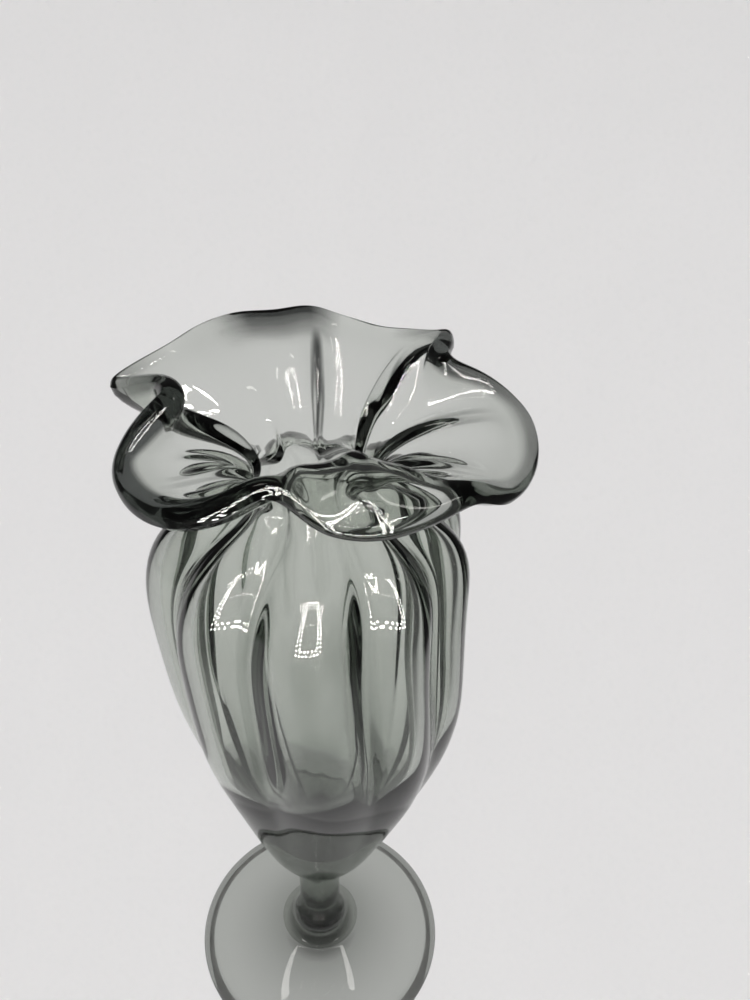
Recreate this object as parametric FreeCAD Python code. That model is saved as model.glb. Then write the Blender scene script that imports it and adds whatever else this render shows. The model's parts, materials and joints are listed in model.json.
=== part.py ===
"""Hand-blown glass bud vase on a short stem and a round foot, with a handkerchief rim.

Three gathers of glass, fused hot:
  bowl   ribbed bulb, narrow neck and ruffled rim, blown as one bubble over a thick solid base
  stem   short solid rod, pressed out into a pad where it meets the foot
  foot   shallow dome spun from a disc, open underneath, standing on its edge

Millimetres. +Z up, origin on the table at the middle of the foot, +Y to the back.
Angles run anticlockwise from +X, seen from above.
"""
import FreeCAD, Part
import math
import os

# foot
FOOT_R = 33.0
FOOT_EDGE_R = 1.6
FOOT_HOLLOW_R = 30.0
FOOT_TOP_Z = 10.0
FOOT_WALL = 4.4

# stem
STEM_R = 5.4
STEM_PAD_R = 10.4
STEM_PAD_EDGE = 0.1
STEM_TOP_R = 5.8
STEM_TOP_Z = 36.0

# bowl
NECK_Z = 165.0
NECK_R = 13.2
WALL = 2.1
BULB_WALL = 3.0
NECK_RIB = 1.8
RIDGE = 1.8
RIB_THICK = 1.4
FLOOR_Z = 63.0
FLOOR_FLAT_R = 2.2
HOLLOW_LEAN = 0.8
NET_AROUND = 108
NET_FLARE = 9

# valleys between the nine blown ribs, degrees
VALLEYS = (4, 37, 88, 129, 170, 211, 250, 296, 330)
# how far the ridge of each valley stands out of the flare, as a share
RIDGES = (0.6, 1.0, 1.0, 0.0, 1.0, 0.5, 0.5, 0.5, 0.5)
VALLEY_SOFTNESS = 0.3

# outside of the bulb: height, radius on a rib's crest, depth of the valleys, sideways lean
BULB = (
    (39.0, 6.9, 0.0, 0.4),
    (46.0, 11.9, 0.1, 0.6),
    (56.0, 16.0, 0.3, 0.8),
    (68.0, 20.1, 0.6, 1.2),
    (81.0, 24.4, 1.1, 1.8),
    (94.0, 28.5, 1.8, 1.9),
    (107.0, 31.3, 2.6, 1.1),
    (119.0, 31.9, 3.2, 0.2),
    (131.0, 32.1, 3.6, -0.7),
    (142.0, 32.3, 3.9, -1.1),
    (151.0, 31.3, 4.1, -0.3),
    (157.0, 27.2, 3.9, 0.4),
    (161.0, 19.2, 3.4, 0.3),
)

# inside of the bulb: height, radius on a rib's crest, depth of the ridges
HOLLOW = (
    (63.1, 4.2, 0.0),
    (66.0, 8.0, 0.0),
    (74.0, 13.6, 0.0),
    (83.0, 18.8, 0.4),
    (91.0, 23.0, 1.0),
    (99.0, 26.4, 1.9),
)

# lip, stretched and folded by hand:
# angle at the neck, angle at the lip, reach, height, slope on arrival, rise from the neck, bead
RIM = (
    (5, 5, 36.3, 178.5, -5, 9, 4.8),
    (12, 16, 31.0, 181.5, 35, 9, 5.2),
    (17, 20, 25.5, 183.0, 65, 9, 5.6),
    (24, 29, 25.0, 185.0, 60, 9, 5.6),
    (29, 36, 29.5, 185.0, -20, 9, 5.2),
    (36, 43, 26.3, 184.5, 30, 9, 4.4),
    (56, 60, 23.6, 184.0, 55, 9, 3.2),
    (75, 79, 25.4, 183.5, 45, 9, 3.2),
    (90, 94, 28.5, 183.5, 15, 10, 3.6),
    (102, 107, 30.0, 182.0, 15, 12, 4.0),
    (116, 121, 31.8, 182.0, 12, 12, 3.8),
    (130, 136, 29.5, 183.5, 30, 10, 3.4),
    (146, 154, 29.0, 183.5, 40, 9, 3.4),
    (156, 169, 34.6, 180.5, 45, 9, 4.4),
    (161, 173, 34.2, 180.0, 60, 9, 4.8),
    (167, 180, 26.0, 184.0, 95, 9, 5.2),
    (174, 194, 23.8, 185.0, 120, 9, 5.6),
    (183, 199, 26.5, 183.0, 95, 9, 5.8),
    (196, 206, 32.0, 178.5, 20, 9, 6.0),
    (210, 217, 33.2, 176.5, 15, 9, 6.0),
    (224, 230, 31.8, 176.0, 20, 9, 6.0),
    (240, 243, 28.7, 178.0, 30, 10, 5.6),
    (255, 256, 25.5, 181.5, 40, 12, 5.0),
    (267, 266, 25.5, 182.0, 0, 16, 4.4),
    (280, 277, 29.0, 179.5, -45, 22, 4.2),
    (295, 292, 32.0, 179.0, -50, 24, 4.2),
    (308, 309, 33.5, 180.0, -35, 16, 4.4),
    (319, 320, 34.5, 180.5, 10, 10, 4.6),
    (332, 333, 37.0, 177.0, -15, 9, 4.8),
    (349, 350, 37.8, 176.5, -10, 9, 4.8),
)
FLARE_SLOPE = math.radians(75.0)


def vec(point):
    return FreeCAD.Vector(*point)


def mix(a, b, share):
    return a + (b - a) * share


def valley(angle):
    """0 on the crest of a rib, 1 in the valley between two ribs."""
    angle = angle % 360.0
    for i, start in enumerate(VALLEYS):
        width = (VALLEYS[(i + 1) % len(VALLEYS)] - start) % 360.0
        along = (angle - start) % 360.0
        if along < width:
            crest = math.sin(math.pi * along / width)
            top = math.hypot(1.0, VALLEY_SOFTNESS)
            return (top - math.hypot(crest, VALLEY_SOFTNESS)) / (top - VALLEY_SOFTNESS)
    return 1.0


def ridge(angle):
    """Share of the ridge that stands inwards along the nearest valley, narrower than the valley."""
    nearest = min(range(len(VALLEYS)), key=lambda i: abs((angle - VALLEYS[i] + 180) % 360 - 180))
    return valley(angle) ** 3 * RIDGES[nearest]


def turned(rows, i, column):
    """Entry of a ring-shaped table; the first two columns are angles that grow by a turn each lap."""
    lap, k = divmod(i, len(rows))
    return rows[k][column] + (360.0 * lap if column < 2 else 0.0)


def smooth_row(rows, t):
    """Smooth closed curve through the rows, one row per unit of t."""
    i = math.floor(t)
    f = t - i
    out = []
    for column in range(len(rows[0])):
        a, b, c, d = (turned(rows, i + k, column) for k in (-1, 0, 1, 2))
        cubic = (2 * a - 5 * b + 4 * c - d) * f ** 2 + (3 * b - a - 3 * c + d) * f ** 3
        out.append(b + 0.5 * ((c - a) * f + cubic))
    return out


def lip_at(neck_angle):
    low = -1.0
    high = len(RIM) + 1.0
    for _ in range(40):
        t = (low + high) / 2
        if smooth_row(RIM, t)[0] < neck_angle:
            low = t
        else:
            high = t
    return smooth_row(RIM, low)


def polar(radius, angle, height, lean=0.0):
    a = math.radians(angle)
    return vec((lean + radius * math.cos(a), radius * math.sin(a), height))


def angles():
    return [360.0 * i / NET_AROUND for i in range(NET_AROUND)]


def ring(height, radius, depth=0.0, lean=0.0):
    return [polar(radius - depth * valley(a), a, height, lean) for a in angles()]


def inner_ring(height):
    """Ring of the bulb's inside at a height between two rows of BULB."""
    for low, high in zip(BULB, BULB[1:]):
        if low[0] <= height <= high[0]:
            share = (height - low[0]) / (high[0] - low[0])
            radius, depth, lean = (mix(low[k], high[k], share) for k in (1, 2, 3))
            return ring(height, radius - BULB_WALL, depth + RIB_THICK, lean)
    raise ValueError("height outside the bulb")


def flare_point(lip, angle, s):
    """Middle of the flaring wall, s running from the neck (0) to the lip (1)."""
    neck_angle, lip_angle, reach, height, slope, rise, _ = lip
    slope = math.radians(slope)
    start = NECK_R - WALL / 2 - NECK_RIB * valley(angle)
    hold = 0.4 * math.hypot(reach - start, height - NECK_Z)
    net = (
        (start, NECK_Z),
        (start + rise * math.cos(FLARE_SLOPE), NECK_Z + rise * math.sin(FLARE_SLOPE)),
        (reach - hold * math.cos(slope), height - hold * math.sin(slope)),
        (reach, height),
    )
    weights = ((1 - s) ** 3, 3 * s * (1 - s) ** 2, 3 * s ** 2 * (1 - s), s ** 3)
    radius, z = (sum(w * p[k] for w, p in zip(weights, net)) for k in (0, 1))
    swing = (lip_angle - neck_angle) * s ** 2 * (3 - 2 * s)
    return polar(radius, angle + swing, z)


def offset(rings, j, distances):
    """Ring j moved along the wall's outward normal."""
    below = rings[max(j - 1, 0)]
    above = rings[min(j + 1, len(rings) - 1)]
    out = []
    for i, point in enumerate(rings[j]):
        around = rings[j][(i + 1) % NET_AROUND] - rings[j][i - 1]
        normal = around.cross(above[i] - below[i]).normalize()
        out.append(point + normal * distances[i])
    return out


def flare_and_lip():
    """Rings up the outside of the flaring wall, over the lip and down the inside."""
    lips = [lip_at(a) for a in angles()]
    beads = [lip[-1] for lip in lips]
    steps = [j / NET_FLARE for j in range(NET_FLARE + 1)]
    middle = [[flare_point(lip, a, s) for lip, a in zip(lips, angles())] for s in steps]
    outside, inside = [], []
    for j, s in enumerate(steps):
        halves = [mix(WALL, bead, s ** 8) / 2 for bead in beads]
        rise = RIDGE * min(1.0, 3 * s) * (1 - s ** 4)
        outside.append(offset(middle, j, halves))
        inside.append(offset(middle, j, [-h - rise * ridge(a) for h, a in zip(halves, angles())]))
    past = [a + (a - b).normalize() * 0.55 * t for a, b, t in zip(middle[-1], middle[-2], beads)]
    over = [offset(middle + [past], NET_FLARE + 1, [d * t for t in beads]) for d in (0.36, -0.36)]
    return outside + over + inside[::-1]


def bowl_net():
    outer_bulb = [ring(*row) for row in BULB]
    inner_bulb = [inner_ring(row[0]) for row in BULB[6:]]
    hollow = [ring(height, radius, depth, HOLLOW_LEAN) for height, radius, depth in HOLLOW]
    base = [ring(STEM_TOP_Z, STEM_TOP_R)]
    floor = [ring(FLOOR_Z, FLOOR_FLAT_R, 0.0, HOLLOW_LEAN)]
    return base + outer_bulb + flare_and_lip() + inner_bulb[::-1] + hollow[::-1] + floor


def skin(net):
    """Smooth surface over a net of rings, closed round the axis."""
    rows = len(net)
    surface = Part.BSplineSurface()
    surface.buildFromPolesMultsKnots(
        net,
        [4] + [1] * (rows - 4) + [4],
        [1] * (NET_AROUND + 1),
        list(range(rows - 2)),
        list(range(NET_AROUND + 1)),
        False,
        True,
        3,
        3,
    )
    return surface.toShape()


def capped(face):
    """Solid bounded by a tube-like face and a flat disc on each of its open ends."""
    rims = [e for e in face.Edges if not e.isSeam(face)]
    discs = [Part.Face(Part.Wire(e)) for e in rims]
    shell = Part.Shell([face] + discs)
    solid = Part.Solid(shell)
    if solid.Volume < 0:
        solid.reverse()
    return solid


def make_bowl():
    return capped(skin(bowl_net()))


def turn(edges):
    """Solid of revolution about +Z from a closed outline in the XZ plane."""
    face = Part.Face(Part.Wire(edges))
    return face.revolve(vec((0, 0, 0)), vec((0, 0, 1)), 360)


def line(a, b):
    return Part.LineSegment(vec((a[0], 0, a[1])), vec((b[0], 0, b[1]))).toShape()


def curve(*poles):
    bezier = Part.BezierCurve()
    bezier.setPoles([vec((r, 0, z)) for r, z in poles])
    return bezier.toShape()


def arc(a, through, b):
    return Part.Arc(*(vec((r, 0, z)) for r, z in (a, through, b))).toShape()


def make_foot():
    edge_z = 2 * FOOT_EDGE_R
    side = FOOT_R - FOOT_EDGE_R
    pad = (STEM_PAD_R, FOOT_TOP_Z)
    under = (0, FOOT_TOP_Z - FOOT_WALL)
    edges = [
        line((0, FOOT_TOP_Z), pad),
        curve(pad, (18.0, 6.6), (25.0, 4.4), (side, edge_z)),
        arc((side, edge_z), (FOOT_R, FOOT_EDGE_R), (side, 0)),
        line((side, 0), (FOOT_HOLLOW_R, 0)),
        curve((FOOT_HOLLOW_R, 0), (26.0, 0.3), (15.0, under[1]), under),
        line(under, (0, FOOT_TOP_Z)),
    ]
    return turn(edges)


def make_stem():
    pad_top = FOOT_TOP_Z + STEM_PAD_EDGE
    edges = [
        line((0, FOOT_TOP_Z), (STEM_PAD_R, FOOT_TOP_Z)),
        line((STEM_PAD_R, FOOT_TOP_Z), (STEM_PAD_R, pad_top)),
        curve((STEM_PAD_R, pad_top), (7.2, 10.4), (STEM_R, 13.5), (STEM_R, 20.0)),
        curve((STEM_R, 20.0), (STEM_R, 27.0), (5.2, 31.0), (STEM_TOP_R, STEM_TOP_Z)),
        line((STEM_TOP_R, STEM_TOP_Z), (0, STEM_TOP_Z)),
        line((0, STEM_TOP_Z), (0, FOOT_TOP_Z)),
    ]
    return turn(edges)


def main():
    os.makedirs("parts", exist_ok=True)
    make_bowl().exportStep("parts/bowl.step")
    make_stem().exportStep("parts/stem.step")
    make_foot().exportStep("parts/foot.step")


main()
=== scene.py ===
"""Smoke-glass bud vase: ribbed bulb, narrow neck, handkerchief rim, short stem and domed foot.

Metres, +Z up, origin on the table at the middle of the foot, +Y to the back. Angles are in
degrees, anticlockwise from +X seen from above.
"""

import json
import math

import bmesh
import bpy
import numpy as np
from bpy.props import FloatProperty, FloatVectorProperty, IntProperty, PointerProperty
from bpy.types import Operator, Panel, PropertyGroup
from mathutils import Matrix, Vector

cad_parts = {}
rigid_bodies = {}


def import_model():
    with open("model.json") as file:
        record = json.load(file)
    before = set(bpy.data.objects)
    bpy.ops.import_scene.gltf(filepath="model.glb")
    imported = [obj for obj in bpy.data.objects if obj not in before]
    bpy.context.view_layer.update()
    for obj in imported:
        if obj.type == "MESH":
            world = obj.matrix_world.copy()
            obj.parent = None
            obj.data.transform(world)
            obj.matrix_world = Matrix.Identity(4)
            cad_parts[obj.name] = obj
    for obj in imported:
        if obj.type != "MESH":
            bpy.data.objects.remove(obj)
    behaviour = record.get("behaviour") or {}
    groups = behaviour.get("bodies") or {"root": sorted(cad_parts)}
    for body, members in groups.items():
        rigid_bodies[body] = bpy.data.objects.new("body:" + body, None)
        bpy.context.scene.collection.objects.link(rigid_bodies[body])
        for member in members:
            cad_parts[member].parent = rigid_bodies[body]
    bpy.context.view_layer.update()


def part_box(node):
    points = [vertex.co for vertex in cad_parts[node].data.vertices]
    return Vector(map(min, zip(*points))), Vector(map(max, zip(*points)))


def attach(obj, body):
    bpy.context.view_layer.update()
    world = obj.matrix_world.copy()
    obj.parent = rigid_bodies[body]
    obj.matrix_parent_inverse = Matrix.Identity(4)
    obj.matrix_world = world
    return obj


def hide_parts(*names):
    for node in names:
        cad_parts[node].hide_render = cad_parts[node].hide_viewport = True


bl_info = {
    "name": "Glass bud vase",
    "version": (1, 0, 0),
    "blender": (4, 5, 0),
    "location": "3D View > Sidebar > Vase",
    "description": "Builds a ribbed glass bud vase with a ruffled rim, piece by piece",
    "category": "Add Mesh",
}

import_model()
MM = 0.001

BOWL_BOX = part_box("bowl")
STEM_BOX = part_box("stem")
FOOT_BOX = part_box("foot")

# how finely the blown bowl is divided: round the axis, and from the base over the lip to the floor
AROUND = 420
ALONG = 216
TURNED_AROUND = 256
CRISP_ANGLE = math.radians(35.0)

# the ring net that the bowl is blown from, in millimetres
NET_AROUND = 108
NET_FLARE = 9
LIP_PLACE = 23.5
NECK_Z = 165.0
NECK_R = 13.2
NECK_RIB = 1.8
FLOOR_Z = 63.0
FLOOR_FLAT_R = 2.2
BASE_R = 5.8
HOLLOW_LEAN = 0.8
FLARE_SLOPE = math.radians(75.0)

# valleys between the nine blown ribs, degrees
VALLEYS = (4, 37, 88, 129, 170, 211, 250, 296, 330)
# how far the ridge of each valley stands out of the flare, as a share
RIDGES = (0.6, 1.0, 1.0, 0.0, 1.0, 0.5, 0.5, 0.5, 0.5)

# outside of the bulb: height, radius on a rib's crest, depth of the valleys, sideways lean
BULB = (
    (39.0, 6.9, 0.0, 0.4),
    (46.0, 11.9, 0.1, 0.6),
    (56.0, 16.0, 0.3, 0.8),
    (68.0, 20.1, 0.6, 1.2),
    (81.0, 24.4, 1.1, 1.8),
    (94.0, 28.5, 1.8, 1.9),
    (107.0, 31.3, 2.6, 1.1),
    (119.0, 31.9, 3.2, 0.2),
    (131.0, 32.1, 3.6, -0.7),
    (142.0, 32.3, 3.9, -1.1),
    (151.0, 31.3, 4.1, -0.3),
    (157.0, 27.2, 3.9, 0.4),
    (161.0, 19.2, 3.4, 0.3),
)

# inside of the bulb above the solid base: height, radius on a rib's crest, depth of the ridges
HOLLOW = (
    (63.1, 4.2, 0.0),
    (66.0, 8.0, 0.0),
    (74.0, 13.6, 0.0),
    (83.0, 18.8, 0.4),
    (91.0, 23.0, 1.0),
    (99.0, 26.4, 1.9),
)

# the lip, stretched and folded by hand:
# angle at the neck, angle at the lip, reach, height, slope on arrival, rise from the neck, bead
RIM = (
    (5, 5, 36.3, 178.5, -5, 9, 4.8),
    (12, 16, 31.0, 181.5, 35, 9, 5.2),
    (17, 20, 25.5, 183.0, 65, 9, 5.6),
    (24, 29, 25.0, 185.0, 60, 9, 5.6),
    (29, 36, 29.5, 185.0, -20, 9, 5.2),
    (36, 43, 26.3, 184.5, 30, 9, 4.4),
    (56, 60, 23.6, 184.0, 55, 9, 3.2),
    (75, 79, 25.4, 183.5, 45, 9, 3.2),
    (90, 94, 28.5, 183.5, 15, 10, 3.6),
    (102, 107, 30.0, 182.0, 15, 12, 4.0),
    (116, 121, 31.8, 182.0, 12, 12, 3.8),
    (130, 136, 29.5, 183.5, 30, 10, 3.4),
    (146, 154, 29.0, 183.5, 40, 9, 3.4),
    (156, 169, 34.6, 180.5, 45, 9, 4.4),
    (161, 173, 34.2, 180.0, 60, 9, 4.8),
    (167, 180, 26.0, 184.0, 95, 9, 5.2),
    (174, 194, 23.8, 185.0, 120, 9, 5.6),
    (183, 199, 26.5, 183.0, 95, 9, 5.8),
    (196, 206, 32.0, 178.5, 20, 9, 6.0),
    (210, 217, 33.2, 176.5, 15, 9, 6.0),
    (224, 230, 31.8, 176.0, 20, 9, 6.0),
    (240, 243, 28.7, 178.0, 30, 10, 5.6),
    (255, 256, 25.5, 181.5, 40, 12, 5.0),
    (267, 266, 25.5, 182.0, 0, 16, 4.4),
    (280, 277, 29.0, 179.5, -45, 22, 4.2),
    (295, 292, 32.0, 179.0, -50, 24, 4.2),
    (308, 309, 33.5, 180.0, -35, 16, 4.4),
    (319, 320, 34.5, 180.5, 10, 10, 4.6),
    (332, 333, 37.0, 177.0, -15, 9, 4.8),
    (349, 350, 37.8, 176.5, -10, 9, 4.8),
)


# ---------------------------------------------------------------- sizes and colours


class BowlSizes(PropertyGroup):
    wall: FloatProperty(
        name="Wall", description="Thickness of the flaring wall", default=2.1 * MM, unit="LENGTH"
    )
    bulb_wall: FloatProperty(
        name="Bulb wall", description="Thickness of the bulb's ribs", default=3.0 * MM, unit="LENGTH"
    )
    bead: FloatProperty(
        name="Bead", description="Thickness of the fire-polished lip, as a share of its table", default=1.0
    )
    rib_glass: FloatProperty(
        name="Rib glass", description="Extra glass inside the bulb's valleys", default=1.4 * MM, unit="LENGTH"
    )
    ridge: FloatProperty(
        name="Ridge", description="Height of the ridges up the flare", default=1.8 * MM, unit="LENGTH"
    )
    rib_strength: FloatProperty(
        name="Rib strength", description="Depth of the ribs, as a share of the mould's", default=1.0
    )
    valley_softness: FloatProperty(
        name="Valley softness", description="How rounded the valleys between ribs are", default=0.3
    )
    ripple: FloatProperty(
        name="Ripple", description="Height of the hand-worked unevenness", default=0.1 * MM, unit="LENGTH"
    )


class StemSizes(PropertyGroup):
    waist: FloatProperty(
        name="Waist radius", description="Radius of the rod", default=5.4 * MM, unit="LENGTH"
    )
    top: FloatProperty(
        name="Top radius", description="Radius where the rod meets the bowl", default=BASE_R * MM, unit="LENGTH"
    )
    pad_edge: FloatProperty(
        name="Pad edge", description="Thickness of the pad at its edge", default=0.02 * MM, unit="LENGTH"
    )


class FootSizes(PropertyGroup):
    edge: FloatProperty(
        name="Edge radius", description="Radius of the rounded edge", default=1.6 * MM, unit="LENGTH"
    )
    wall: FloatProperty(
        name="Wall", description="Thickness at the middle", default=4.4 * MM, unit="LENGTH"
    )
    hollow: FloatProperty(
        name="Hollow radius", description="Radius of the open dome underneath", default=30.0 * MM, unit="LENGTH"
    )


class GlassFinish(PropertyGroup):
    tint: FloatVectorProperty(
        name="Tint", description="Colour of the light that the glass lets through",
        default=(0.50, 0.537, 0.497), subtype="COLOR", min=0.0, max=1.0,
    )
    depth_of_tint: FloatProperty(
        name="Depth of tint", description="Absorption, per metre", default=150.0
    )
    ior: FloatProperty(name="Refraction", description="Index of refraction", default=1.5)
    seed: IntProperty(name="Seed", description="Seed of the unevenness", default=7)


class StageLight(PropertyGroup):
    table: FloatVectorProperty(
        name="Table", description="Colour of the table", default=(0.80, 0.79, 0.79), subtype="COLOR",
        min=0.0, max=1.0,
    )
    beyond: FloatProperty(
        name="Beyond", description="Share of the table's brightness that the glass meets far to the sides",
        default=0.12,
    )
    strip: FloatProperty(name="Strip light", description="Brightness of the strip light's chips", default=60.0)
    key: FloatProperty(name="Soft key", description="Strength of the soft light from above", default=2.6)
    room: FloatProperty(
        name="Room", description="Brightness of the dim room that the glass mirrors", default=0.06
    )
    backdrop: FloatProperty(
        name="Backdrop", description="Brightness of the pale surroundings behind the table", default=0.7
    )
    lens: FloatProperty(name="Lens", description="Focal length in millimetres", default=36.0)


# ---------------------------------------------------------------- the bowl's shape


def valley_phase(angle):
    """How far across its rib an angle is, from 0 in one valley to 1 in the next."""
    angle = angle % 360.0
    for i, start in enumerate(VALLEYS):
        width = (VALLEYS[(i + 1) % len(VALLEYS)] - start) % 360.0
        along = (angle - start) % 360.0
        if along < width:
            return along / width
    return 0.0


def ridge_share(angle):
    """How far the nearest valley's ridge stands out of the flare, as a share."""
    nearest = min(range(len(VALLEYS)), key=lambda i: abs((angle - VALLEYS[i] + 180) % 360 - 180))
    return RIDGES[nearest]


def turned_entry(rows, i, column):
    """Entry of a ring-shaped table; the first two columns are angles that grow by a turn each lap."""
    lap, k = divmod(i, len(rows))
    return rows[k][column] + (360.0 * lap if column < 2 else 0.0)


def smooth_row(rows, t):
    """Smooth closed curve through the rows, one row per unit of t."""
    i = math.floor(t)
    f = t - i
    out = []
    for column in range(len(rows[0])):
        a, b, c, d = (turned_entry(rows, i + k, column) for k in (-1, 0, 1, 2))
        cubic = (2 * a - 5 * b + 4 * c - d) * f**2 + (3 * b - a - 3 * c + d) * f**3
        out.append(b + 0.5 * ((c - a) * f + cubic))
    return out


def lip_at(neck_angle):
    """The lip's row for a place round the neck, found by halving."""
    low = -1.0
    high = len(RIM) + 1.0
    for _ in range(40):
        t = (low + high) / 2
        if smooth_row(RIM, t)[0] < neck_angle:
            low = t
        else:
            high = t
    return smooth_row(RIM, low)


ANGLES = np.arange(NET_AROUND) * 360.0 / NET_AROUND


def polar(radius, angle, height, lean=0.0):
    a = np.radians(angle)
    radius = np.broadcast_to(radius, a.shape)
    height = np.broadcast_to(height, a.shape)
    return np.stack([lean + radius * np.cos(a), radius * np.sin(a), height], axis=-1)


def flare_rings(lips, wall, pressed):
    """Middle of the flaring wall, ring by ring from the neck to the lip."""
    neck_angle, lip_angle, reach, height, slope, rise, _ = lips.T
    slope = np.radians(slope)
    start = NECK_R - wall / 2 - NECK_RIB * pressed
    hold = 0.4 * np.hypot(reach - start, height - NECK_Z)
    radii = (start, start + rise * np.cos(FLARE_SLOPE), reach - hold * np.cos(slope), reach)
    heights = (NECK_Z, NECK_Z + rise * np.sin(FLARE_SLOPE), height - hold * np.sin(slope), height)
    rings = []
    for j in range(NET_FLARE + 1):
        s = j / NET_FLARE
        w = ((1 - s) ** 3, 3 * s * (1 - s) ** 2, 3 * s**2 * (1 - s), s**3)
        radius = sum(a * b for a, b in zip(w, radii))
        z = sum(a * b for a, b in zip(w, heights))
        swing = (lip_angle - neck_angle) * s**2 * (3 - 2 * s)
        rings.append(polar(radius, ANGLES + swing, z))
    return np.array(rings)


def wall_normals(rings):
    around = np.roll(rings, -1, axis=1) - np.roll(rings, 1, axis=1)
    normals = np.cross(around, np.gradient(rings, axis=0))
    return normals / np.linalg.norm(normals, axis=2, keepdims=True)


def bulb_ring(height, inset, pressed):
    table = np.array(BULB).T
    radius, depth, lean = (np.interp(height, table[0], column) for column in table[1:])
    return polar(radius - inset - depth * pressed, ANGLES, height, lean)


def bowl_net(sizes, pressed=0.0, raised=0.0):
    """Rings of the bowl's net from the base, up the outside, over the lip and down to the floor.

    pressed is 0 for the bubble before it meets the rib mould and 1 for a valley all the way round;
    raised is 1 where the ridge inside a valley stands proud of the wall.
    """
    wall = sizes.wall / MM
    ridge = sizes.ridge / MM * raised
    lips = np.array([lip_at(a) for a in ANGLES])
    bead = lips[:, -1:] * sizes.bead
    middle = flare_rings(lips, wall, pressed)
    past = middle[-1] + 0.55 * bead * unit(middle[-1] - middle[-2])
    normals = wall_normals(middle)
    s = np.linspace(0, 1, NET_FLARE + 1)[:, None, None]
    half = (wall + (bead - wall) * s**8) / 2
    rise = ridge * np.minimum(1.0, 3 * s) * (1 - s**4)
    outside = middle + normals * half
    inside = middle - normals * (half + rise)
    over = [past + normals[-1] * bead * side for side in (0.36, -0.36)]
    outer = [polar(r - d * pressed, ANGLES, z, lean) for z, r, d, lean in BULB]
    rib = (sizes.bulb_wall + sizes.rib_glass * pressed) / MM
    inner = [bulb_ring(row[0], rib, pressed) for row in BULB[6:]]
    hollow = [polar(r - d * pressed, ANGLES, z, HOLLOW_LEAN) for z, r, d in HOLLOW]
    base = polar(BASE_R, ANGLES, STEM_BOX[1][2] / MM)
    floor = polar(FLOOR_FLAT_R, ANGLES, FLOOR_Z, HOLLOW_LEAN)
    return np.array(
        [base, *outer, *outside, *over, *inside[::-1], *inner[::-1], *hollow[::-1], floor]
    )


def unit(vectors):
    return vectors / np.linalg.norm(vectors, axis=-1, keepdims=True)


def cubic_weights(knots, count, where):
    """Share of each of count control points in a cubic B-spline, one row per place."""
    where = np.asarray(where)[:, None]
    low, high = knots[:-1][None], knots[1:][None]
    basis = ((where >= low) & (where < high)).astype(float)
    for degree in (1, 2, 3):
        n = len(knots) - 1 - degree
        a, b = knots[:n], knots[degree : degree + n]
        c, d = knots[1 : n + 1], knots[degree + 1 : degree + 1 + n]
        left = np.where(b > a, (where - a) / np.where(b > a, b - a, 1), 0) * basis[:, :n]
        right = np.where(d > c, (d - where) / np.where(d > c, d - c, 1), 0) * basis[:, 1 : n + 1]
        basis = left + right
    return basis[:, :count]


def smooth_skin(net, across, along):
    """Points of the smooth surface over a net of rings at the given places."""
    rows, columns = net.shape[:2]
    knots = np.concatenate([[0] * 3, np.arange(rows - 2), [rows - 3] * 3]).astype(float)
    up = cubic_weights(knots, rows, np.minimum(along, rows - 3 - 1e-9))
    closed = np.arange(-3, columns + 4).astype(float)
    wrapped = np.concatenate([net[:, -1:], net, net[:, :2]], axis=1)
    round_it = cubic_weights(closed, columns + 3, across)
    return np.einsum("jr,rck,ic->jik", up, wrapped, round_it, optimize=True)


def even_steps(net, count):
    """Places along the net's profile, evenly spaced over its mean length and closer round the lip."""
    dense = np.linspace(0, len(net) - 3, 2000)
    line = smooth_skin(net, np.arange(0, NET_AROUND, 4.0), dense)
    length = np.linalg.norm(np.diff(line, axis=0), axis=2).mean(axis=1)
    lip_row = line[..., 2].mean(axis=1).argmax()
    nearness = np.exp(-(((np.arange(len(length)) - lip_row) / 45.0) ** 2))
    travelled = np.concatenate([[0], np.cumsum(length * (1 + 3.0 * nearness))])
    return np.interp(np.linspace(0, travelled[-1], count), travelled, dense)


def closed_tube(name, rings, attributes=None):
    """Mesh from rings of points, closed by a flat fan at each end, with faces outwards."""
    rows, columns = rings.shape[:2]
    ends = np.array([rings[0].mean(axis=0), rings[-1].mean(axis=0)])
    points = np.concatenate([rings.reshape(-1, 3), ends])
    j, i = np.meshgrid(np.arange(rows - 1), np.arange(columns), indexing="ij")
    k = (i + 1) % columns
    quads = np.stack([j * columns + i, j * columns + k, (j + 1) * columns + k, (j + 1) * columns + i], -1)
    first, last = rows * columns, rows * columns + 1
    top = (rows - 1) * columns
    fans = [(first, (c + 1) % columns, c) for c in range(columns)]
    fans += [(last, top + c, top + (c + 1) % columns) for c in range(columns)]
    mesh = bpy.data.meshes.new(name)
    mesh.from_pydata(points.tolist(), [], quads.reshape(-1, 4).tolist() + fans)
    for key, values in (attributes or {}).items():
        kind = "FLOAT_VECTOR" if values.ndim == 3 else "FLOAT"
        size = 3 if values.ndim == 3 else 1
        flat = np.concatenate([values.reshape(-1, size), np.zeros((2, size))]).astype(np.float32)
        mesh.attributes.new(key, kind, "POINT").data.foreach_set(
            "vector" if size == 3 else "value", flat.ravel()
        )
    shape = bmesh.new()
    shape.from_mesh(mesh)
    bmesh.ops.recalc_face_normals(shape, faces=shape.faces)
    shape.to_mesh(mesh)
    shape.free()
    mesh.validate()
    piece = bpy.data.objects.new(name, mesh)
    bpy.context.scene.collection.objects.link(piece)
    return piece


# ---------------------------------------------------------------- node helpers


def add_node(tree, kind, values=None, **settings):
    node = tree.nodes.new(kind)
    for key, value in settings.items():
        setattr(node, key, value)
    for key, value in (values or {}).items():
        if isinstance(value, bpy.types.NodeSocket):
            tree.links.new(value, node.inputs[key])
        else:
            node.inputs[key].default_value = value
    return node


def maths(tree, operation, *values):
    return add_node(tree, "ShaderNodeMath", dict(enumerate(values)), operation=operation).outputs[0]


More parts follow.
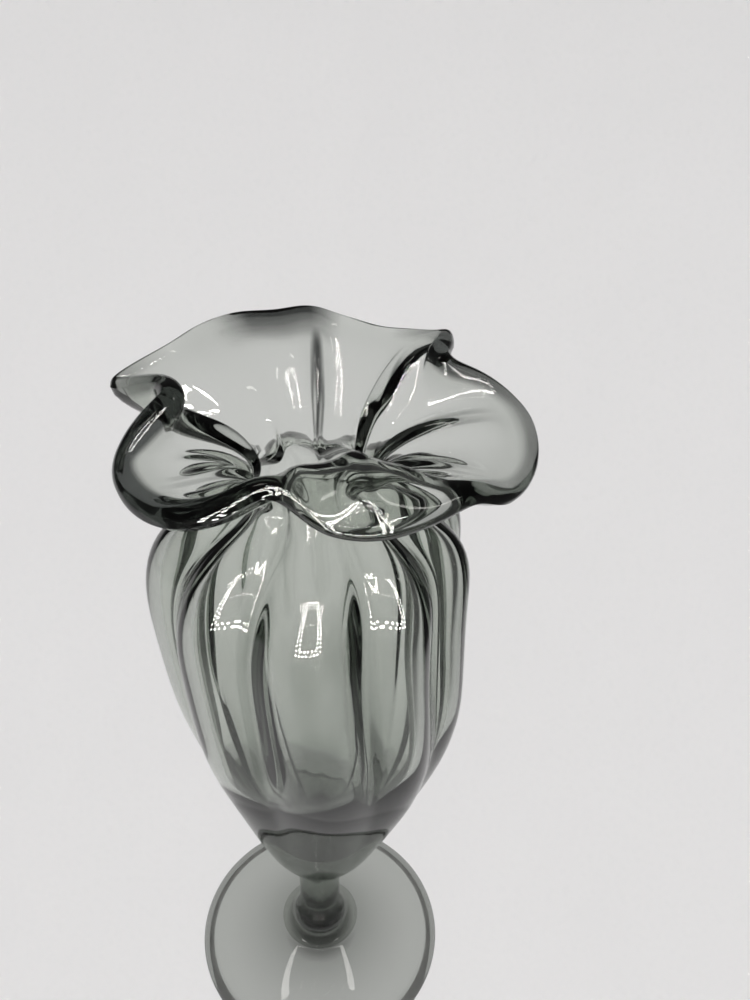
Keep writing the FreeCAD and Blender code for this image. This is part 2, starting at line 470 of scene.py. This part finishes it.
def vector_maths(tree, operation, values):
    node = add_node(tree, "ShaderNodeVectorMath", values, operation=operation)
    return node.outputs["Value" if operation in ("DOT_PRODUCT", "LENGTH") else "Vector"]


def named(tree, kind, name):
    node = add_node(tree, "GeometryNodeInputNamedAttribute", data_type=kind)
    node.inputs["Name"].default_value = name
    return node.outputs["Attribute"]


def new_geometry_tree(name, inputs):
    tree = bpy.data.node_groups.new(name, "GeometryNodeTree")
    tree.interface.new_socket("Geometry", in_out="INPUT", socket_type="NodeSocketGeometry")
    for label, kind in inputs:
        tree.interface.new_socket(label, in_out="INPUT", socket_type=kind)
    tree.interface.new_socket("Geometry", in_out="OUTPUT", socket_type="NodeSocketGeometry")
    return tree, add_node(tree, "NodeGroupInput"), add_node(tree, "NodeGroupOutput")


def ripple_tree():
    """Hand-worked unevenness: a slow, seeded swell along the wall's normal."""
    name = "Furnace ripple"
    if name in bpy.data.node_groups:
        return bpy.data.node_groups[name]
    tree, source, sink = new_geometry_tree(
        name, (("Height", "NodeSocketFloat"), ("Size", "NodeSocketFloat"), ("Seed", "NodeSocketInt"))
    )
    place = add_node(tree, "GeometryNodeInputPosition").outputs[0]
    scale = maths(tree, "DIVIDE", 1.0, source.outputs["Size"])
    noise = add_node(
        tree, "ShaderNodeTexNoise",
        {"Vector": place, "W": source.outputs["Seed"], "Scale": scale, "Detail": 1.0},
        noise_dimensions="4D",
    )
    swell = maths(tree, "SUBTRACT", noise.outputs["Fac"], 0.5)
    amount = maths(tree, "MULTIPLY", maths(tree, "MULTIPLY", swell, 2.0), source.outputs["Height"])
    normal = add_node(tree, "GeometryNodeInputNormal").outputs[0]
    push = vector_maths(tree, "SCALE", {0: normal, "Scale": amount})
    moved = add_node(
        tree, "GeometryNodeSetPosition", {"Geometry": source.outputs["Geometry"], "Offset": push}
    )
    tree.links.new(moved.outputs[0], sink.inputs[0])
    return tree


def finish_tree(tree, geometry, sink, source):
    """Smooth faces that stay crisp at the flat joints, then one mesh in glass."""
    smooth = add_node(tree, "GeometryNodeSetShadeSmooth", {"Geometry": geometry})
    turn = add_node(tree, "GeometryNodeInputMeshEdgeAngle").outputs["Unsigned Angle"]
    crisp = add_node(
        tree, "FunctionNodeCompare", {0: turn, 1: CRISP_ANGLE}, data_type="FLOAT", operation="GREATER_THAN"
    ).outputs[0]
    jointed = add_node(
        tree, "GeometryNodeSetShadeSmooth",
        {"Geometry": smooth.outputs[0], "Selection": crisp, "Shade Smooth": False}, domain="EDGE",
    )
    whole = add_node(tree, "GeometryNodeRealizeInstances", {0: jointed.outputs[0]})
    glazed = add_node(
        tree, "GeometryNodeSetMaterial",
        {"Geometry": whole.outputs[0], "Material": source.outputs["Glass"]},
    )
    tree.links.new(glazed.outputs[0], sink.inputs[0])


def rib_mould_tree():
    """Presses the nine ribs into the bubble, then adds the hand-worked unevenness."""
    tree, source, sink = new_geometry_tree(
        "Rib mould",
        (
            ("Strength", "NodeSocketFloat"),
            ("Softness", "NodeSocketFloat"),
            ("Ripple", "NodeSocketFloat"),
            ("Ripple size", "NodeSocketFloat"),
            ("Seed", "NodeSocketInt"),
            ("Glass", "NodeSocketMaterial"),
        ),
    )
    soft = source.outputs["Softness"]
    crest = maths(tree, "SINE", maths(tree, "MULTIPLY", named(tree, "FLOAT", "across_rib"), math.pi))
    squared = maths(tree, "MULTIPLY", soft, soft)
    round_crest = maths(tree, "SQRT", maths(tree, "MULTIPLY_ADD", crest, crest, squared))
    top = maths(tree, "SQRT", maths(tree, "ADD", 1.0, squared))
    valley = maths(
        tree, "DIVIDE", maths(tree, "SUBTRACT", top, round_crest), maths(tree, "SUBTRACT", top, soft)
    )
    amount = maths(tree, "MULTIPLY", valley, source.outputs["Strength"])
    press = vector_maths(tree, "SCALE", {0: named(tree, "FLOAT_VECTOR", "press"), "Scale": amount})
    narrow = maths(tree, "MULTIPLY", maths(tree, "POWER", valley, 3.0), source.outputs["Strength"])
    raise_by = vector_maths(tree, "SCALE", {0: named(tree, "FLOAT_VECTOR", "ridge"), "Scale": narrow})
    moved = vector_maths(tree, "ADD", {0: press, 1: raise_by})
    pressed = add_node(
        tree, "GeometryNodeSetPosition", {"Geometry": source.outputs["Geometry"], "Offset": moved}
    )
    ripple = add_node(tree, "GeometryNodeGroup", node_tree=ripple_tree())
    tree.links.new(pressed.outputs[0], ripple.inputs["Geometry"])
    tree.links.new(source.outputs["Ripple"], ripple.inputs["Height"])
    tree.links.new(source.outputs["Ripple size"], ripple.inputs["Size"])
    tree.links.new(source.outputs["Seed"], ripple.inputs["Seed"])
    finish_tree(tree, ripple.outputs[0], sink, source)
    return tree


def turned_tree():
    """Finish for a turned piece: hand-worked unevenness, smooth faces and glass."""
    tree, source, sink = new_geometry_tree(
        "Turned finish",
        (
            ("Ripple", "NodeSocketFloat"),
            ("Ripple size", "NodeSocketFloat"),
            ("Seed", "NodeSocketInt"),
            ("Glass", "NodeSocketMaterial"),
        ),
    )
    ripple = add_node(tree, "GeometryNodeGroup", node_tree=ripple_tree())
    tree.links.new(source.outputs["Geometry"], ripple.inputs["Geometry"])
    tree.links.new(source.outputs["Ripple"], ripple.inputs["Height"])
    tree.links.new(source.outputs["Ripple size"], ripple.inputs["Size"])
    tree.links.new(source.outputs["Seed"], ripple.inputs["Seed"])
    finish_tree(tree, ripple.outputs[0], sink, source)
    return tree


def run_tree(piece, tree, values):
    """Runs a geometry tree on a piece and keeps its result as the piece's plain mesh."""
    modifier = piece.modifiers.new(tree.name, "NODES")
    modifier.node_group = tree
    for item in tree.interface.items_tree:
        if item.in_out == "INPUT" and item.name in values:
            modifier[item.identifier] = values[item.name]
    evaluated = piece.evaluated_get(bpy.context.evaluated_depsgraph_get())
    mesh = bpy.data.meshes.new_from_object(evaluated)
    piece.modifiers.remove(modifier)
    mesh.name = piece.name
    piece.data = mesh
    return piece


def hand_over(piece, node):
    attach(piece, "root")
    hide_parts(node)


# ---------------------------------------------------------------- glass


def surface_group():
    """Fine surface of furnace glass: faint cords, tool marks and a few seeds, as a height."""
    name = "Furnace surface"
    if name in bpy.data.node_groups:
        return bpy.data.node_groups[name]
    tree = bpy.data.node_groups.new(name, "ShaderNodeTree")
    for label in ("Cord size", "Seed spacing"):
        tree.interface.new_socket(label, in_out="INPUT", socket_type="NodeSocketFloat")
    for label in ("Height", "Roughness"):
        tree.interface.new_socket(label, in_out="OUTPUT", socket_type="NodeSocketFloat")
    source = add_node(tree, "NodeGroupInput")
    sink = add_node(tree, "NodeGroupOutput")
    place = add_node(tree, "ShaderNodeTexCoord").outputs["Object"]
    flattened = vector_maths(tree, "MULTIPLY", {0: place, 1: (1.0, 1.0, 0.35)})
    cords = add_node(
        tree, "ShaderNodeTexNoise",
        {
            "Vector": flattened,
            "Scale": maths(tree, "DIVIDE", 1.0, source.outputs["Cord size"]),
            "Detail": 2.0,
            "Roughness": 0.4,
        },
    ).outputs["Fac"]
    seeds = add_node(
        tree, "ShaderNodeTexVoronoi",
        {"Vector": place, "Scale": maths(tree, "DIVIDE", 1.0, source.outputs["Seed spacing"])},
    ).outputs["Distance"]
    dot = add_node(
        tree, "ShaderNodeMapRange",
        {"Value": seeds, "From Min": 0.02, "From Max": 0.05, "To Min": 0.35, "To Max": 0.0},
        interpolation_type="SMOOTHSTEP",
    ).outputs[0]
    tree.links.new(maths(tree, "ADD", cords, dot), sink.inputs["Height"])
    smear = add_node(tree, "ShaderNodeTexNoise", {"Vector": place, "Scale": 45.0, "Detail": 3.0}).outputs["Fac"]
    rough = add_node(
        tree, "ShaderNodeMapRange",
        {"Value": smear, "From Min": 0.55, "From Max": 0.8, "To Min": 0.0, "To Max": 0.03},
    ).outputs[0]
    tree.links.new(rough, sink.inputs["Roughness"])
    return tree


def smoke_glass(name, finish, cord_size, cord_height, seed_spacing):
    material = bpy.data.materials.new(name)
    material.use_nodes = True
    tree = material.node_tree
    glass = tree.nodes["Principled BSDF"]
    glass.inputs["Base Color"].default_value = (0.985, 1.0, 0.975, 1.0)
    glass.inputs["Metallic"].default_value = 0.0
    glass.inputs["Transmission Weight"].default_value = 1.0
    glass.inputs["IOR"].default_value = finish.ior
    surface = add_node(
        tree, "ShaderNodeGroup", node_tree=surface_group()
    )
    surface.inputs["Cord size"].default_value = cord_size
    surface.inputs["Seed spacing"].default_value = seed_spacing
    bump = add_node(
        tree, "ShaderNodeBump",
        {"Strength": 1.0, "Distance": cord_height, "Height": surface.outputs["Height"]},
    )
    tree.links.new(bump.outputs[0], glass.inputs["Normal"])
    tree.links.new(surface.outputs["Roughness"], glass.inputs["Roughness"])
    absorb = add_node(
        tree, "ShaderNodeVolumeAbsorption",
        {"Color": (*finish.tint, 1.0), "Density": finish.depth_of_tint},
    )
    tree.links.new(absorb.outputs[0], tree.nodes["Material Output"].inputs["Volume"])
    return material


def paint_glass_shade(material):
    """Painted shade: darkens the glass's surface colour where the mesh marks it, for the dark look of thick
    glass and its bent edges.
    """
    tree = material.node_tree
    glass = tree.nodes["Principled BSDF"]
    gather = add_node(tree, "ShaderNodeAttribute", attribute_name="gather").outputs["Fac"]
    tone = add_node(tree, "ShaderNodeMix", {"Factor": gather}, data_type="RGBA")
    tone.inputs["A"].default_value = glass.inputs["Base Color"].default_value
    # near-black colour of the painted shade
    tone.inputs["B"].default_value = (0.035, 0.038, 0.038, 1.0)
    tree.links.new(tone.outputs["Result"], glass.inputs["Base Color"])


# ---------------------------------------------------------------- operators


class VASE_OT_bowl(Operator):
    """Blow the ribbed bowl with its neck and ruffled rim"""

    bl_idname = "vase.bowl"
    bl_label = "Bowl"

    def execute(self, context):
        sizes = context.scene.vase_bowl
        finish = context.scene.vase_glass
        bubble = bowl_net(sizes)
        mould = bowl_net(sizes, pressed=1.0)
        ridged = bowl_net(sizes, raised=1.0)
        across = np.arange(AROUND) * NET_AROUND / AROUND
        along = even_steps(bubble, ALONG)
        points = smooth_skin(bubble, across, along)
        press = smooth_skin(mould, across, along) - points
        shares = np.array([ridge_share(a * 360.0 / NET_AROUND) for a in across])
        ridge = (smooth_skin(ridged, across, along) - points) * shares[None, :, None]
        phase = np.array([valley_phase(a * 360.0 / NET_AROUND) for a in across])
        beads = np.interp(across, np.arange(NET_AROUND + 1), [lip_at(a)[-1] for a in (*ANGLES, 360.0)])
        # painted shade on the bowl's glass: dark on the thick lip bead, along the ridges up the flare, on a
        # band along the lip at the back round 101 degrees, and on the solid base, for the dark look of thick
        # glass and its bent edges
        from_lip = np.abs(along - LIP_PLACE)
        near_lip = np.clip((1.7 - from_lip) / 0.4, 0, 1)
        lip = np.outer(near_lip, np.clip((beads - 3.4) / 2.2, 0, 1))
        near_valley = np.clip((0.042 - np.minimum(phase, 1 - phase)) / 0.02, 0, 1) * shares
        up_flare = np.clip(4.0 - np.abs(from_lip - 6.5), 0, 1)
        gather = np.maximum(lip, 0.9 * np.outer(up_flare, near_valley))
        # painted shade: a dark band along the lip at the back, strongest at 101 degrees
        back_lip_shade = np.clip((25 - np.abs(across * 360.0 / NET_AROUND - 101)) / 14, 0, 1)
        edge = np.clip((2.0 - from_lip) / 0.3, 0, 1)
        roll = np.clip((3.4 - from_lip) / 0.5, 0, 1)
        gather = np.maximum(gather, np.outer(np.maximum(0.95 * edge, 0.5 * roll), back_lip_shade))
        # painted shade: the solid base darker towards the bottom
        solid_base = np.clip((70 - points[..., 2]) / 8, 0, 1) * (along < 8)[:, None]
        gather = np.maximum(gather, 0.45 * solid_base)
        piece = closed_tube(
            "bowl_glass",
            points * MM,
            {
                "press": press * MM,
                "ridge": ridge * MM,
                "across_rib": np.broadcast_to(phase, points.shape[:2]),
                "gather": gather,
            },
        )
        glass = smoke_glass("bowl glass", finish, 0.009, 0.00006, 0.02)
        paint_glass_shade(glass)
        run_tree(
            piece,
            rib_mould_tree(),
            {
                "Strength": sizes.rib_strength,
                "Softness": sizes.valley_softness,
                "Ripple": sizes.ripple,
                "Ripple size": 0.03,
                "Seed": finish.seed,
                "Glass": glass,
            },
        )
        hand_over(piece, "bowl")
        return {"FINISHED"}


def arch(poles, steps=20):
    """Points of a cubic curve from its four poles, without the last one."""
    s = np.linspace(0, 1, steps + 1)[:-1, None]
    p = np.array(poles, dtype=float)
    return (1 - s) ** 3 * p[0] + 3 * s * (1 - s) ** 2 * p[1] + 3 * s**2 * (1 - s) * p[2] + s**3 * p[3]


def turn_profile(name, profile, shade_share):
    """Closed mesh turned about +Z from an outline of radius and height, in metres.

    The given function gives the share of painted shade for each radius and height.
    """
    a = np.arange(TURNED_AROUND) * 2 * math.pi / TURNED_AROUND
    r, z = np.asarray(profile).T
    rings = np.stack(
        [np.outer(r, np.cos(a)), np.outer(r, np.sin(a)), np.outer(z, np.ones_like(a))], axis=-1
    )
    gather = np.broadcast_to(shade_share(r / MM, z / MM)[:, None], rings.shape[:2])
    return closed_tube(name, rings, {"gather": gather})


class VASE_OT_stem(Operator):
    """Draw the short solid stem with its pad"""

    bl_idname = "vase.stem"
    bl_label = "Stem"

    def execute(self, context):
        sizes = context.scene.vase_stem
        finish = context.scene.vase_glass
        gap = 0.02 * MM
        low, high = STEM_BOX[0][2] + gap, STEM_BOX[1][2] - gap
        pad = STEM_BOX[1][0]
        waist_z = low + 10 * MM
        profile = np.concatenate(
            [
                arch([(2 * MM, low), (0.4 * pad, low), (0.8 * pad, low), (pad, low)], 12),
                arch(
                    [
                        (pad, low + sizes.pad_edge),
                        (7.2 * MM, low + 0.4 * MM),
                        (sizes.waist, low + 3.5 * MM),
                        (sizes.waist, waist_z),
                    ]
                ),
                arch(
                    [
                        (sizes.waist, waist_z),
                        (sizes.waist, low + 17 * MM),
                        (5.2 * MM, high - 5 * MM),
                        (sizes.top, high),
                    ]
                ),
                [(sizes.top, high), (0.4 * sizes.top, high)],
            ]
        )
        # painted shade: the pad a little darker, and the rod darkest near its foot, lighter towards the bowl
        piece = turn_profile(
            "stem_glass", profile,
            lambda r, z: np.where(r > 6.2, 0.2, np.interp(z, (11, 17, 22, 36), (0.92, 0.92, 0.3, 0.4))),
        )
        glass = smoke_glass("stem glass", finish, 0.006, 0.00003, 0.03)
        paint_glass_shade(glass)
        run_tree(
            piece, turned_tree(),
            {"Ripple": 0.0, "Ripple size": 0.02, "Seed": finish.seed + 1, "Glass": glass},
        )
        hand_over(piece, "stem")
        return {"FINISHED"}


class VASE_OT_foot(Operator):
    """Spin the round domed foot"""

    bl_idname = "vase.foot"
    bl_label = "Foot"

    def execute(self, context):
        sizes = context.scene.vase_foot
        finish = context.scene.vase_glass
        rim, top = FOOT_BOX[1][0], FOOT_BOX[1][2]
        side = rim - sizes.edge
        pad = STEM_BOX[1][0]
        under = top - sizes.wall
        turns = np.radians(np.linspace(90, -90, 14))[:-1]
        edge = [(side + sizes.edge * math.cos(a), sizes.edge * (1 + math.sin(a))) for a in turns]
        profile = np.concatenate(
            [
                arch([(2 * MM, top), (0.4 * pad, top), (0.8 * pad, top), (pad, top)], 12),
                arch([(pad, top), (18 * MM, 6.6 * MM), (25 * MM, 4.4 * MM), (side, 2 * sizes.edge)], 30),
                edge,
                arch([(side, 0), (side - 1 * MM, 0), (sizes.hollow + 1 * MM, 0), (sizes.hollow, 0)], 4),
                arch([(sizes.hollow, 0), (26 * MM, 0.3 * MM), (15 * MM, under), (2 * MM, under)], 30),
            ]
        )
        # painted shade: a dark band round the foot's edge, outside the hollow
        piece = turn_profile(
            "foot_glass", profile, lambda r, z: np.interp(r, (29.8, 30.6, 33.0), (0.0, 0.35, 0.3))
        )
        glass = smoke_glass("foot glass", finish, 0.012, 0.00004, 0.03)
        paint_glass_shade(glass)
        run_tree(
            piece, turned_tree(),
            {"Ripple": 0.0, "Ripple size": 0.03, "Seed": finish.seed + 2, "Glass": glass},
        )
        hand_over(piece, "foot")
        return {"FINISHED"}


def table_material(colour, beyond):
    """Matt table, evenly pale to the camera, with painted shade for rays through the glass: dim far to the
    right and front, and a painted shadow under the foot, darkest under the stem.
    """
    material = bpy.data.materials.new("table")
    material.use_nodes = True
    tree = material.node_tree
    shader = tree.nodes["Principled BSDF"]
    shader.inputs["Roughness"].default_value = 0.7
    place = add_node(tree, "ShaderNodeTexCoord").outputs["Object"]
    axes = add_node(tree, "ShaderNodeSeparateXYZ", {"Vector": place})
    back = maths(tree, "MAXIMUM", axes.outputs["Y"], 0.0)
    left = maths(tree, "MULTIPLY_ADD", back, -0.6, -0.40)
    right = maths(tree, "MULTIPLY_ADD", back, 0.5, 0.12)
    aside = maths(
        tree, "MAXIMUM",
        maths(tree, "DIVIDE", axes.outputs["X"], left),
        maths(tree, "DIVIDE", axes.outputs["X"], right),
    )
    away = maths(tree, "MAXIMUM", aside, maths(tree, "DIVIDE", axes.outputs["Y"], -0.14))
    met = add_node(
        tree, "ShaderNodeMapRange",
        {"Value": away, "From Min": 0.8, "From Max": 1.4, "To Min": 1.0, "To Max": beyond},
        interpolation_type="SMOOTHSTEP",
    ).outputs[0]
    from_axis = vector_maths(tree, "LENGTH", {0: place})
    # painted shadow under the foot, deepest under the stem, which only rays through the glass meet
    under = add_node(
        tree, "ShaderNodeMapRange",
        {"Value": from_axis, "From Min": 0.006, "From Max": 0.026, "To Min": 0.52, "To Max": 0.77},
    ).outputs[0]
    clear = add_node(
        tree, "ShaderNodeMapRange", {"Value": from_axis, "From Min": 0.037, "From Max": 0.050}
    ).outputs[0]
    core = add_node(
        tree, "ShaderNodeMapRange",
        {"Value": from_axis, "From Min": 0.003, "From Max": 0.009, "To Min": 0.25, "To Max": 1.0},
    ).outputs[0]
    under = maths(tree, "MULTIPLY", under, core)
    shaded = maths(tree, "MULTIPLY", met, maths(tree, "MAXIMUM", under, clear))
    seen = add_node(tree, "ShaderNodeLightPath").outputs["Is Camera Ray"]
    share = maths(tree, "MAXIMUM", shaded, maths(tree, "MULTIPLY", seen, 1.06))
    tone = vector_maths(tree, "SCALE", {0: colour, "Scale": share})
    tree.links.new(tone, shader.inputs["Base Color"])
    return material


def chip_material(strength):
    material = bpy.data.materials.new("light chip")
    material.use_nodes = True
    tree = material.node_tree
    glow = add_node(tree, "ShaderNodeEmission", {"Color": (1.0, 0.98, 0.94, 1.0), "Strength": strength})
    tree.links.new(glow.outputs[0], tree.nodes["Material Output"].inputs["Surface"])
    material.cycles.emission_sampling = "NONE"
    return material


def strip_tree():
    """Strip light: small square chips evenly spaced along a rectangular frame."""
    tree, source, sink = new_geometry_tree(
        "Strip light",
        (
            ("Width", "NodeSocketFloat"),
            ("Depth", "NodeSocketFloat"),
            ("Spacing", "NodeSocketFloat"),
            ("Chip", "NodeSocketFloat"),
            ("Light", "NodeSocketMaterial"),
        ),
    )
    outline = add_node(
        tree, "GeometryNodeCurvePrimitiveQuadrilateral",
        {"Width": source.outputs["Width"], "Height": source.outputs["Depth"]},
    )
    points = add_node(
        tree, "GeometryNodeCurveToPoints",
        {"Curve": outline.outputs[0], "Length": source.outputs["Spacing"]}, mode="LENGTH",
    )
    size = add_node(tree, "ShaderNodeCombineXYZ", {"X": source.outputs["Chip"], "Y": source.outputs["Chip"]})
    tree.links.new(maths(tree, "MULTIPLY", source.outputs["Chip"], 0.2), size.inputs["Z"])
    chip = add_node(tree, "GeometryNodeMeshCube", {"Size": size.outputs[0]})
    row = add_node(
        tree, "GeometryNodeInstanceOnPoints", {"Points": points.outputs[0], "Instance": chip.outputs[0]}
    )
    whole = add_node(tree, "GeometryNodeRealizeInstances", {0: row.outputs[0]})
    lit = add_node(
        tree, "GeometryNodeSetMaterial",
        {"Geometry": whole.outputs[0], "Material": source.outputs["Light"]},
    )
    tree.links.new(lit.outputs[0], sink.inputs[0])
    return tree


def strip_light(name, tree, width, depth, place, turn, chip, spacing, material):
    mesh = bpy.data.meshes.new(name)
    strip = bpy.data.objects.new(name, mesh)
    bpy.context.scene.collection.objects.link(strip)
    run_tree(
        strip, tree,
        {"Width": width, "Depth": depth, "Spacing": spacing, "Chip": chip, "Light": material},
    )
    strip.location = place
    strip.rotation_euler = [math.radians(a) for a in turn]
    for flag in ("visible_camera", "visible_diffuse", "visible_transmission", "visible_shadow"):
        setattr(strip, flag, False)
    return strip


def pale_room(room, backdrop):
    """World that is pale to look at and dim in the glass, so that its edges show."""
    world = bpy.data.worlds.new("room")
    world.use_nodes = True
    tree = world.node_tree
    seen = add_node(tree, "ShaderNodeLightPath").outputs["Is Camera Ray"]
    strength = add_node(
        tree, "ShaderNodeMapRange", {"Value": seen, "To Min": room, "To Max": backdrop}
    ).outputs[0]
    background = tree.nodes["Background"]
    background.inputs["Color"].default_value = (1.0, 0.99, 0.985, 1.0)
    tree.links.new(strength, background.inputs["Strength"])
    return world


class VASE_OT_stage(Operator):
    """Set up the pale table, the soft light and the camera"""

    bl_idname = "vase.stage"
    bl_label = "Stage"

    def execute(self, context):
        light = context.scene.vase_stage
        mesh = bpy.data.meshes.new("table")
        mesh.from_pydata([(-4, -4, 0), (4, -4, 0), (4, 4, 0), (-4, 4, 0)], [], [(0, 1, 2, 3)])
        mesh.materials.append(table_material(light.table, light.beyond))
        table = bpy.data.objects.new("table", mesh)
        context.scene.collection.objects.link(table)
        context.scene.world = pale_room(light.room, light.backdrop)
        tree = strip_tree()
        chips = chip_material(light.strip)
        clear_of_stem = bpy.data.collections.new("clear of the stem")
        for piece in context.scene.objects:
            if piece.name.startswith("stem_glass"):
                clear_of_stem.objects.link(piece)
        for link in clear_of_stem.collection_objects:
            link.light_linking.link_state = "EXCLUDE"
        glow = chip_material(light.strip / 11)
        for k in range(2):
            less = 0.16 * k
            facing = ((0, -0.7, 0.87), (90, 0, 0))
            strips = [strip_light("front strip", tree, 0.6 - less, 1.7 - less, *facing, 0.036, 0.09, chips)]
            overhead = ((0, -1.1, 1.3), (0, 0, 0))
            strips.append(
                strip_light("upper strip", tree, 1.0 - less, 1.0 - less, *overhead, 0.022, 0.08, chips)
            )
            for strip in strips:
                strip.light_linking.receiver_collection = clear_of_stem
        for side in (-1, 1):
            aside = ((side * 0.40, -0.19, 1.0), (0, 0, -22 * side))
            strip_light("side strip", tree, 0.24, 0.03, *aside, 0.030, 0.03, glow)
        open_air = bpy.data.collections.new("casts shadows")
        open_air.objects.link(table)
        data = bpy.data.lights.new("soft key", "SUN")
        data.energy = light.key
        data.angle = math.radians(60)
        key = bpy.data.objects.new("soft key", data)
        key.light_linking.blocker_collection = open_air
        key.visible_glossy = False
        key.visible_transmission = False
        context.scene.collection.objects.link(key)
        context.scene.view_settings.view_transform = "Standard"
        data = bpy.data.cameras.new("camera")
        data.lens = light.lens
        data.sensor_width = 36.0
        data.clip_start = 0.01
        camera = bpy.data.objects.new("camera", data)
        context.scene.collection.objects.link(camera)
        turn = Matrix(
            (
                (0.999484, -0.032109, 0.0),
                (0.020176, 0.628046, -0.777910),
                (0.024978, 0.777513, 0.628370),
            )
        )
        camera.matrix_world = Matrix.Translation((0.011705, -0.146174, 0.278481)) @ turn.to_4x4()
        context.scene.camera = camera
        return {"FINISHED"}


class VASE_PT_panel(Panel):
    """Lists the pieces of the vase"""

    bl_label = "Glass bud vase"
    bl_idname = "VASE_PT_panel"
    bl_space_type = "VIEW_3D"
    bl_region_type = "UI"
    bl_category = "Vase"

    def draw(self, context):
        for operator in PIECES:
            self.layout.operator(operator.bl_idname)
        for group in ("vase_bowl", "vase_stem", "vase_foot", "vase_glass", "vase_stage"):
            settings = getattr(context.scene, group)
            box = self.layout.box()
            for key in settings.__annotations__:
                box.prop(settings, key)


PIECES = (VASE_OT_foot, VASE_OT_stem, VASE_OT_bowl, VASE_OT_stage)
GROUPS = {
    "vase_bowl": BowlSizes,
    "vase_stem": StemSizes,
    "vase_foot": FootSizes,
    "vase_glass": GlassFinish,
    "vase_stage": StageLight,
}
CLASSES = (*GROUPS.values(), *PIECES, VASE_PT_panel)


def register():
    for cls in CLASSES:
        bpy.utils.register_class(cls)
    for name, group in GROUPS.items():
        setattr(bpy.types.Scene, name, PointerProperty(type=group))


def unregister():
    for name in GROUPS:
        delattr(bpy.types.Scene, name)
    for cls in reversed(CLASSES):
        bpy.utils.unregister_class(cls)


def main():
    register()
    bpy.ops.vase.foot()
    bpy.ops.vase.stem()
    bpy.ops.vase.bowl()
    bpy.ops.vase.stage()


if __name__ == "__main__":
    main()
